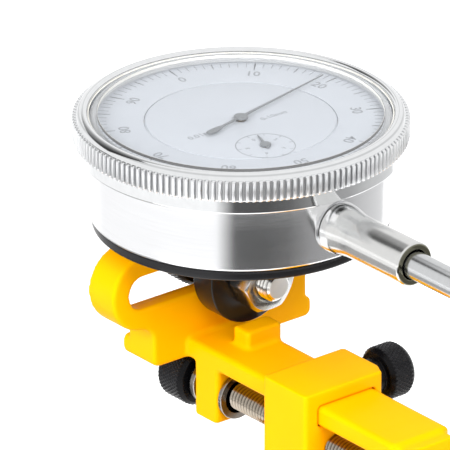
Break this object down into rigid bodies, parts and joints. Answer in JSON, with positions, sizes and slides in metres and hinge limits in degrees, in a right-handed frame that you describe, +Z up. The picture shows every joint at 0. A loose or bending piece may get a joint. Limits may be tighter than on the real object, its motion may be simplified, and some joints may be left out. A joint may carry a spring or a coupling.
{
  "type": "clamp-on wheel truing stand",
  "caption": "Compact wheel truing gauge: a dial indicator on a slotted bracket whose rail slides through a clamping carriage by a lead screw.",
  "frame": {"origin": "middle of the carriage's V groove, where the fork leg or stay seats", "axes": "+X along the rail and the dial's plunger, towards the wheel; +Y along the bracket's slot, away from the viewer; +Z up, normal to the dial's face"},
  "size_m": [0.1034, 0.06, 0.1242],
  "materials": {
    "yellow_plastic": "gloss moulded",
    "black_plastic": "matte",
    "rubber": "matte",
    "nylon": "matte",
    "steel": "bright",
    "chrome": "satin plated",
    "brass": "machined",
    "black_paint": "satin black",
    "face": "printed pale grey",
    "crystal": "clear",
    "pointer": "black"
  },
  "bodies": {
    "carriage": {"carriage_block": "yellow_plastic", "lead_nut": "brass", "clamp_nut": "brass"},
    "rail": {"rail_bracket": "yellow_plastic"},
    "adjuster": {"lead_screw": "steel", "adjuster_knob": "black_plastic", "thrust_washer": "steel", "retaining_clip": "steel"},
    "rail_lock_tip": {"lock_tip": "nylon"},
    "rail_lock": {"lock_screw": "steel", "lock_knob": "black_plastic"},
    "pad": {"clamp_pad": "rubber"},
    "clamp": {"clamp_screw": "steel", "clamp_knob": "black_plastic"},
    "slider": {"slider_washer": "steel", "mount_nut": "chrome"},
    "bolt": {"mount_bolt": "chrome", "mount_knob": "black_plastic"},
    "dial": {"dial_back": "black_paint", "back_screw_1": "steel", "back_screw_2": "steel", "back_screw_3": "steel", "back_screw_4": "steel", "dial_case": "chrome", "stem": "chrome", "dust_cap": "chrome", "movement_base": "brass", "movement_bridge": "brass", "movement_top": "brass", "pillar_1": "brass", "pillar_2": "brass", "pillar_3": "brass", "pillar_4": "brass", "inner_face": "face", "return_spring": "steel", "hairspring": "steel"},
    "bezel_ring": {"bezel": "chrome", "scale_ring": "face", "crystal": "crystal"},
    "plunger": {"spindle": "steel", "contact_tip": "steel"},
    "centre": {"main_pointer": "pointer", "centre_pinion": "steel"},
    "counter": {"count_pointer": "pointer", "count_arbor": "brass"},
    "takeup": {"takeup_wheel": "brass"}
  },
  "joints": [
    {"name": "rail_travel", "type": "slide", "parent": "carriage", "child": "rail", "axis": [1, 0, 0], "range_m": [-0.014, 0.0135]},
    {"name": "lead_screw_turn", "type": "hinge", "parent": "rail", "child": "adjuster", "pos_m": [-0.03, -0.00225, 0.00955], "axis": [1, 0, 0], "range_deg": [-6301, 6301]},
    {"name": "lock_travel", "type": "slide", "parent": "carriage", "child": "rail_lock_tip", "axis": [0, 1, 0], "range_m": [0, 0.001]},
    {"name": "lock_turn", "type": "hinge", "parent": "rail_lock_tip", "child": "rail_lock", "pos_m": [-0.0011, 0.012, 0.0168], "axis": [0, 1, 0], "range_deg": [-1, 451]},
    {"name": "clamp_travel", "type": "slide", "parent": "carriage", "child": "pad", "axis": [0, 0, 1], "range_m": [-0.006, 0.01]},
    {"name": "clamp_turn", "type": "hinge", "parent": "pad", "child": "clamp", "pos_m": [0, 0, -0.05], "axis": [0, 0, 1], "range_deg": [-2161, 3601]},
    {"name": "mount_slide", "type": "slide", "parent": "rail", "child": "slider", "axis": [0, 1, 0], "range_m": [-0.0198, 0.0092]},
    {"name": "bolt_turn", "type": "hinge", "parent": "slider", "child": "bolt", "pos_m": [-0.02845, 0.0038, 0.0304], "axis": [1, 0, 0], "range_deg": [-180, 0]},
    {"name": "dial_tilt", "type": "hinge", "parent": "slider", "child": "dial", "pos_m": [-0.02845, 0.0038, 0.0304], "axis": [1, 0, 0], "range_deg": [-4, 4]},
    {"name": "bezel_turn", "type": "hinge", "parent": "dial", "child": "bezel_ring", "pos_m": [-0.02845, 0.0038, 0.055], "axis": [0, 0, 1], "continuous": true},
    {"name": "spindle_travel", "type": "slide", "parent": "dial", "child": "plunger", "axis": [-1, 0, 0], "range_m": [0, 0.01], "stiffness_N_per_m": 30, "springref_m": -0.02},
    {"name": "pointer_turn", "type": "hinge", "parent": "dial", "child": "centre", "pos_m": [-0.02845, 0.0038, 0.055], "axis": [0, 0, 1], "range_deg": [-3601, 1]},
    {"name": "count_turn", "type": "hinge", "parent": "dial", "child": "counter", "pos_m": [-0.01695, 0.00001, 0.055], "axis": [0, 0, 1], "range_deg": [-1, 361]},
    {"name": "takeup_turn", "type": "hinge", "parent": "dial", "child": "takeup", "pos_m": [-0.03995, 0.00759, 0.055], "axis": [0, 0, 1], "range_deg": [-1, 361]}
  ],
  "couplings": [
    {"joint": "lead_screw_turn", "follows": "rail_travel", "rad_per_m": 7854},
    {"joint": "lock_turn", "follows": "lock_travel", "rad_per_m": 7854},
    {"joint": "clamp_turn", "follows": "clamp_travel", "rad_per_m": 6283.2},
    {"joint": "pointer_turn", "follows": "spindle_travel", "rad_per_m": -6283.2},
    {"joint": "count_turn", "follows": "spindle_travel", "rad_per_m": 628.32},
    {"joint": "takeup_turn", "follows": "spindle_travel", "rad_per_m": 628.32}
  ]
}
